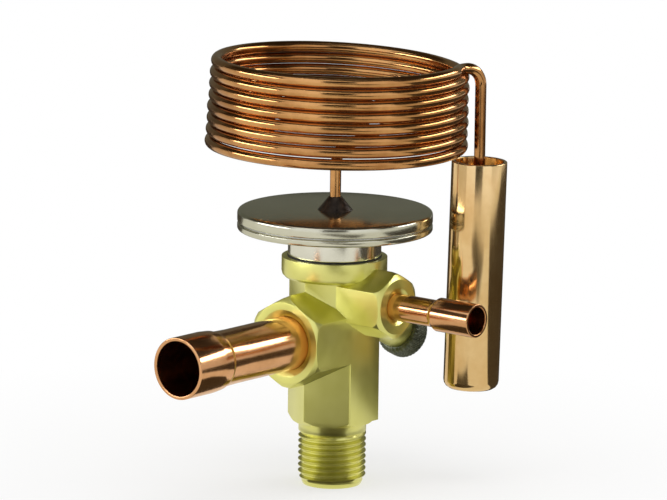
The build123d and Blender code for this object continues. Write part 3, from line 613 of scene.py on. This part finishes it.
def thread_sleeve():
    bm = bmesh.new()
    turns = round((THREAD_TOP - SPIGOT_LOW) / THREAD_PITCH) + 2
    low = SPIGOT_LOW - THREAD_PITCH
    verts = [bm.verts.new((r * MM, 0, (low + h) * MM)) for r, h in TOOTH]
    for a, b in zip(verts, verts[1:]):
        bm.edges.new((a, b))
    bmesh.ops.spin(bm, geom=bm.verts[:] + bm.edges[:], axis=(0, 0, 1), cent=(0, 0, 0),
                   dvec=(0, 0, THREAD_PITCH * MM / THREAD_STEPS), steps=THREAD_STEPS * turns,
                   angle=2 * pi * turns)
    bmesh.ops.remove_doubles(bm, verts=bm.verts[:], dist=0.005 * MM)
    cut_level(bm, SPIGOT_LOW * MM, way=-1, clear=True)
    cut_level(bm, THREAD_TOP * MM, way=1, clear=True)
    for vert in bm.verts:
        r = radius_of(vert) / MM
        trimmed = trimmed_radius(r, vert.co.z / MM)
        vert.co.x *= trimmed / r
        vert.co.y *= trimmed / r
    end = [e for e in bm.edges if e.is_boundary and e.verts[0].co.z < (SPIGOT_LOW + 1) * MM]
    ring = bmesh.ops.extrude_edge_only(bm, edges=end)["geom"]
    for vert in (v for v in ring if isinstance(v, bmesh.types.BMVert)):
        vert.co.x *= CHAMFER_IN_R / CHAMFER_R
        vert.co.y *= CHAMFER_IN_R / CHAMFER_R
    return finish_mesh("inlet_thread", bm, body_brass)


thread = thread_sleeve()
print("thread:", len(thread.data.polygons), "faces")

# %% [markdown]
# ## The seal cap
# The adjuster's cap is gripped with the fingers, so its side is knurled: two families of grooves
# that cross and leave diamonds. Each point of the side is set in by how close it lies to a groove.

# %% Seal cap
ADJUSTER_H, ADJUSTER_TILT = 29.6, radians(26)
adjuster_way = Vector((0, cos(ADJUSTER_TILT), -sin(ADJUSTER_TILT)))
adjuster_axis = along(Vector((0, 0, ADJUSTER_H * MM)), adjuster_way)
CAP_R, CAP_BORE_R, CAP_ROUND = 5.8, 4.53, 1.1
CAP_IN, CAP_ROOF, CAP_OUT = 26.3, 30.1, 31.4
KNURLS, STEPS_PER_KNURL, KNURL_CUTS = 34, 8, 24
KNURL_DEPTH, KNURL_LEAN, KNURL_SHARPNESS, KNURL_ABOVE_R = 0.28, 1.15, 1.6, 4.7
NEAR = 0.02 * MM


def knurl_depth(angle, height):
    lean = height * KNURL_LEAN
    first = abs(sin(KNURLS * (angle + lean / CAP_R) / 2))
    second = abs(sin(KNURLS * (angle - lean / CAP_R) / 2))
    return KNURL_DEPTH * (1 - min(1, KNURL_SHARPNESS * min(first, second)))


def runs_up_the_side(edge):
    low, high = edge.verts
    return (abs(radius_of(low) - CAP_R * MM) < NEAR and abs(radius_of(high) - CAP_R * MM) < NEAR
            and abs(low.co.z - high.co.z) > 1 * MM)


def knurled_cap():
    bm = turned_bmesh([(CAP_BORE_R, CAP_IN, 0), (CAP_R, CAP_IN, CAP_ROUND),
                       (CAP_R, CAP_OUT, CAP_ROUND), (0, CAP_OUT, 0), (0, CAP_ROOF, 0),
                       (CAP_BORE_R, CAP_ROOF, 0)], steps=KNURLS * STEPS_PER_KNURL)
    side = [e for e in bm.edges if runs_up_the_side(e)]
    bmesh.ops.subdivide_edges(bm, edges=side, cuts=KNURL_CUTS, use_grid_fill=True)
    for vert in bm.verts:
        r = radius_of(vert) / MM
        if r > KNURL_ABOVE_R:
            depth = knurl_depth(atan2(vert.co.y, vert.co.x), vert.co.z / MM)
            vert.co.x *= 1 - depth / r
            vert.co.y *= 1 - depth / r
    bmesh.ops.transform(bm, matrix=adjuster_axis, verts=bm.verts[:])
    return finish_mesh("cap_knurled", bm, cap_metal)


cap = knurled_cap()
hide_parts("spindle_cap")
print("cap:", len(cap.data.polygons), "faces")

# %% [markdown]
# ## Finishes on the CAD pieces
# The small inner pieces keep their CAD meshes and only take a finish.

# %% Finishes
FINISHES = {
    "inner brass": (inner_brass, ["rod_guide", "orifice_cartridge", "strainer_rim", "adjusting_fork",
                                  "adjusting_spindle", "gland_nut", "spring_seat"]),
    "inner steel": (inner_steel, ["diaphragm", "diaphragm_plate", "push_rod", "valve_cone",
                                  "spring_retainer", "strainer_screen"]),
    "black seal": (black_seal, ["element_seal", "rod_seal", "orifice_gasket", "spindle_seal",
                                "cap_gasket"]),
    "dark braze": (dark_braze, ["bulb_end_plug"]),
}
for finish, node_names in FINISHES.values():
    for node_name in node_names:
        mesh = frame["nodes"][node_name].data
        mesh.materials.clear()
        mesh.materials.append(finish)
print("finished", sum(len(names) for _, names in FINISHES.values()), "CAD pieces")

# %% [markdown]
# ## The springs
# Each spring is a copy of its CAD mesh, cut between two heights with its cut ends filled. The cone
# spring stands on its retainer and pushes on the cone. The superheat spring is pressed from both
# ends, so it is cut at half its height into an upper and a lower half.

# %% Springs
CLEAR = 1 * MM


def spring_part(name, node, low, high):
    """A copy of a spring between two heights, with its cut ends filled."""
    bm = bmesh.new()
    bm.from_mesh(frame["nodes"][node].data)
    for height, way in ((low, -1), (high, 1)):
        cut = cut_level(bm, height, way, clear=True)
        edges = [item for item in cut["geom_cut"] if isinstance(item, bmesh.types.BMEdge)]
        if edges:
            bmesh.ops.holes_fill(bm, edges=edges)
    mesh = bpy.data.meshes.new(name)
    bm.to_mesh(mesh)
    bm.free()
    mesh.materials.clear()
    mesh.materials.append(inner_steel)
    piece = bpy.data.objects.new(name, mesh)
    bpy.context.scene.collection.objects.link(piece)
    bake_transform(piece)
    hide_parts(node)
    print(f"{name}: {len(mesh.polygons)} faces")


cone_low, cone_high = (corner[2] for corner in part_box("cone_spring"))
heat_low, heat_high = (corner[2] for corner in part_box("superheat_spring"))
heat_half = (heat_low + heat_high) / 2
spring_part("cone_spring_giving", "cone_spring", cone_low - CLEAR, cone_high + CLEAR)
spring_part("superheat_spring_upper", "superheat_spring", heat_half, heat_high + CLEAR)
spring_part("superheat_spring_lower", "superheat_spring", heat_low - CLEAR, heat_half)

# %% [markdown]
# ## Floor and light
# A pale floor, a white background and three soft lamps: one low on each side, whose narrow shapes
# draw the bright lines on the tubes, and one high in front. Bright metal only looks like metal
# when it has something dark to reflect too, so flags of one tone stand round the set and lie on
# its floor. They are seen in reflections only and block no light.

# %% Floor and light
FLOOR_H, FLOOR_SIZE = SPIGOT_LOW * MM, 8
FLOOR_GLOW_NEAR, FLOOR_GLOW_SPREAD = 0.55, 7
UP, RIGHT = Vector((0, 0, 1)), screen_right
FRONT = Vector((towards_camera.x, towards_camera.y, 0)).normalized()


def floor_material():
    """Pale and matt near the valve, where its shadow lies; away from it, it glows white."""
    material, nodes, links, shader = new_material("pale floor")
    shader.inputs["Base Color"].default_value = (0.86, 0.86, 0.86, 1)
    shader.inputs["Roughness"].default_value = 0.9
    glow = nodes.new("ShaderNodeEmission")
    glow.inputs["Color"].default_value = (1, 1, 1, 1)
    mix = nodes.new("ShaderNodeMixShader")
    away = nodes.new("ShaderNodeTexGradient")
    away.gradient_type = "SPHERICAL"
    spread = object_coordinates(nodes, links, (FLOOR_GLOW_SPREAD,) * 3)
    links.new(spread, away.inputs["Vector"])
    near = ramp(nodes, links, away.outputs["Fac"], [(0.0, 1.0), (0.9, FLOOR_GLOW_NEAR)])
    links.new(near, mix.inputs["Fac"])
    links.new(shader.outputs["BSDF"], mix.inputs[1])
    links.new(glow.outputs["Emission"], mix.inputs[2])
    links.new(mix.outputs["Shader"], nodes["Material Output"].inputs["Surface"])
    return material


def card(name, centre, facing, width, height, material):
    bm = bmesh.new()
    bmesh.ops.create_grid(bm, x_segments=1, y_segments=1, size=0.5)
    bmesh.ops.scale(bm, vec=(width, height, 1), verts=bm.verts[:])
    bmesh.ops.transform(bm, matrix=along(centre, facing), verts=bm.verts[:])
    mesh = bpy.data.meshes.new(name)
    bm.to_mesh(mesh)
    bm.free()
    mesh.materials.append(material)
    obj = bpy.data.objects.new(name, mesh)
    bpy.context.scene.collection.objects.link(obj)
    return obj


def flag(name, colour, centre, facing, width, height):
    """A card of one tone that only reflections see."""
    material, nodes, links, _ = new_material(name)
    tone = nodes.new("ShaderNodeEmission")
    tone.inputs["Color"].default_value = (*colour, 1)
    links.new(tone.outputs["Emission"], nodes["Material Output"].inputs["Surface"])
    obj = card(name, centre, facing, width, height, material)
    obj.visible_camera = False
    obj.visible_diffuse = False
    obj.visible_shadow = False
    obj.visible_transmission = False


def mat(name, colour, right, front, lift):
    """A flag on the floor, over (from, to) spans to the right and the front, in metres."""
    middle = RIGHT * sum(right) / 2 + FRONT * sum(front) / 2 + UP * (FLOOR_H + lift * MM)
    flag(name, colour, middle, UP, right[1] - right[0], front[1] - front[0])


def lamp(name, azimuth, elevation, distance, size, power):
    """A soft lamp, at an azimuth that counts from the camera's."""
    azimuth += atan2(FRONT.y, FRONT.x)
    way = Vector((cos(azimuth) * cos(elevation), sin(azimuth) * cos(elevation), sin(elevation)))
    light = bpy.data.lights.new(name, "AREA")
    light.shape = "RECTANGLE"
    light.size, light.size_y = size
    light.energy = power
    obj = bpy.data.objects.new(name, light)
    obj.matrix_world = along(AIM + way * distance, way)
    bpy.context.scene.collection.objects.link(obj)


DARK, DARK_WALL, DARK_FLOOR = (0.06, 0.05, 0.035), (0.05, 0.045, 0.03), (0.06, 0.05, 0.03)
OLIVE, NEARLY_BLACK, GLOW = (0.13, 0.13, 0.10), (0.035, 0.030, 0.022), (0.65, 0.63, 0.56)
PALE, PALER = (0.80, 0.78, 0.68), (0.88, 0.86, 0.78)
card("floor", UP * FLOOR_H, UP, FLOOR_SIZE, FLOOR_SIZE, floor_material())
flag("flag_behind", OLIVE, UP * 0.40 - FRONT, FRONT, 3.4, 0.9)
flag("flag_above", NEARLY_BLACK, UP * 0.95 - FRONT * 0.7, -UP, 3.0, 2.4)
flag("flag_left", DARK, UP * 0.70 - RIGHT * 1.3, RIGHT, 2.0, 0.8)
flag("flag_right", DARK, UP * 0.95 + RIGHT * 1.3, -RIGHT, 2.0, 0.8)
flag("glow_left", GLOW, UP * 0.14 - RIGHT * 1.3, RIGHT, 2.0, 0.32)
flag("glow_right", GLOW, UP * 0.27 + RIGHT * 1.3, -RIGHT, 2.0, 0.56)
flag("flag_camera", DARK_WALL, UP * 0.60 + FRONT * 1.7, -FRONT, 0.9, 1.3)
mat("mat_right", PALE, right=(-0.8, 0.8), front=(-0.8, 0.8), lift=0.4)
mat("mat_left", PALER, right=(-0.8, -0.05), front=(-0.01, 0.8), lift=0.6)
mat("mat_behind", DARK, right=(-0.8, 0.8), front=(-0.8, -0.15), lift=0.8)
mat("mat_near", DARK_FLOOR, right=(-0.025, 0.030), front=(0.01, 0.065), lift=1.0)
mat("mat_front", DARK_FLOOR, right=(-0.06, 0.12), front=(0.19, 0.55), lift=1.0)
lamp("lamp_left", radians(-78), radians(11), distance=1.0, size=(0.8, 0.14), power=3)
lamp("lamp_right", radians(106), radians(23), distance=1.0, size=(0.8, 0.16), power=3)
lamp("lamp_top", 0, radians(72), distance=1.2, size=(1.2, 0.5), power=5)
print("floor, cards and lamps set")

# %% [markdown]
# ## The white background
# The camera, mirrors and glass see a plain white world. As a light it is weaker, so that the lamps
# still shape the valve and its shadow stays on the floor.

# %% Background
WORLD_LIGHT = 0.55


def either(nodes, links, first, second):
    node = nodes.new("ShaderNodeMath")
    node.operation = "MAXIMUM"
    links.new(first, node.inputs[0])
    links.new(second, node.inputs[1])
    return node.outputs[0]


def white_world():
    world = bpy.data.worlds.new("studio")
    bpy.context.scene.world = world
    world.use_nodes = True
    nodes, links = world.node_tree.nodes, world.node_tree.links
    rays = nodes.new("ShaderNodeLightPath").outputs
    seen = either(nodes, links, rays["Is Camera Ray"], rays["Is Glossy Ray"])
    seen = either(nodes, links, seen, rays["Is Transmission Ray"])
    strength = nodes.new("ShaderNodeMapRange")
    strength.inputs["To Min"].default_value = WORLD_LIGHT
    strength.inputs["To Max"].default_value = 1.0
    links.new(seen, strength.inputs["Value"])
    links.new(strength.outputs["Result"], nodes["Background"].inputs["Strength"])
    nodes["Background"].inputs["Color"].default_value = (1, 1, 1, 1)


white_world()
print("white background set")
